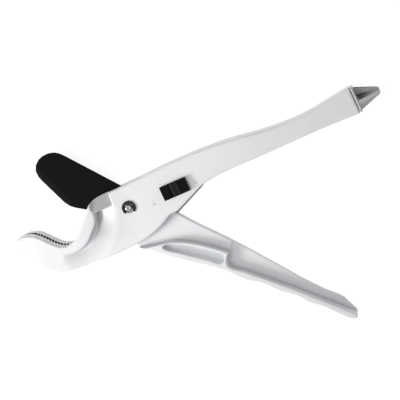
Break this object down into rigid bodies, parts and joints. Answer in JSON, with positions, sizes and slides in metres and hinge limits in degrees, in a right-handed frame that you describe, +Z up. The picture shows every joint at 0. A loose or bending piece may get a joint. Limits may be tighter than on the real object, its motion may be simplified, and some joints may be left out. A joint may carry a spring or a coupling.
{
  "type": "one-hand plastic pipe cutter with pipe reamer",
  "caption": "Plier-type cutter for plastic pipe: hooked jaw, pivoting black blade on a sprung lever, sliding lock, and a tapered four-wing reamer in the end of the fixed handle.",
  "frame": {"origin": "centre of the bounding box in X and Y, on the resting plane under the far cheek", "axes": "+X from the jaw to the handle ends, +Y towards the fixed handle's side, +Z up out of the near cheek, parallel to the pivot"},
  "size_m": [0.2214, 0.1396, 0.0185],
  "materials": {
    "white_paint": "white powder coat, semi-gloss, on die-cast metal",
    "black_coating": "black low-friction coating on ground blade steel, satin",
    "black_plastic": "moulded black plastic, fine satin texture",
    "steel": "bright turned steel",
    "dark_steel": "black phosphated spring steel",
    "zinc": "bare grey die-cast zinc alloy, satin",
    "bronze": "plain sintered bronze"
  },
  "bodies": {
    "body": {"fixed_body": "white_paint", "pivot_pin": "steel", "pivot_e_clip": "dark_steel", "thrust_washer_near": "bronze", "thrust_washer_far": "bronze", "opening_spring": "steel", "reamer": "zinc", "reamer_screw": "steel", "reamer_screw_washer": "steel", "stop_strip": "black_plastic"},
    "lever": {"lever": "white_paint", "blade": "black_coating", "pivot_bush": "bronze", "blade_screw_front": "dark_steel", "blade_screw_rear": "dark_steel", "blade_dowel": "steel"},
    "lock": {"lock_button": "black_plastic", "lock_catch": "dark_steel", "lock_screw": "steel", "lock_friction_washer": "steel"}
  },
  "joints": [
    {"name": "lever_pivot", "type": "hinge", "parent": "body", "child": "lever", "pos_m": [-0.03733, -0.00533, 0.008], "axis": [0, 0, 1], "range_deg": [0, 40], "stiffness_Nm_per_rad": 0.4, "springref_deg": -28.65},
    {"name": "lock_slide", "type": "slide", "parent": "body", "child": "lock", "axis": [-0.9063, -0.4226, 0], "range_m": [0, 0.0045]}
  ]
}
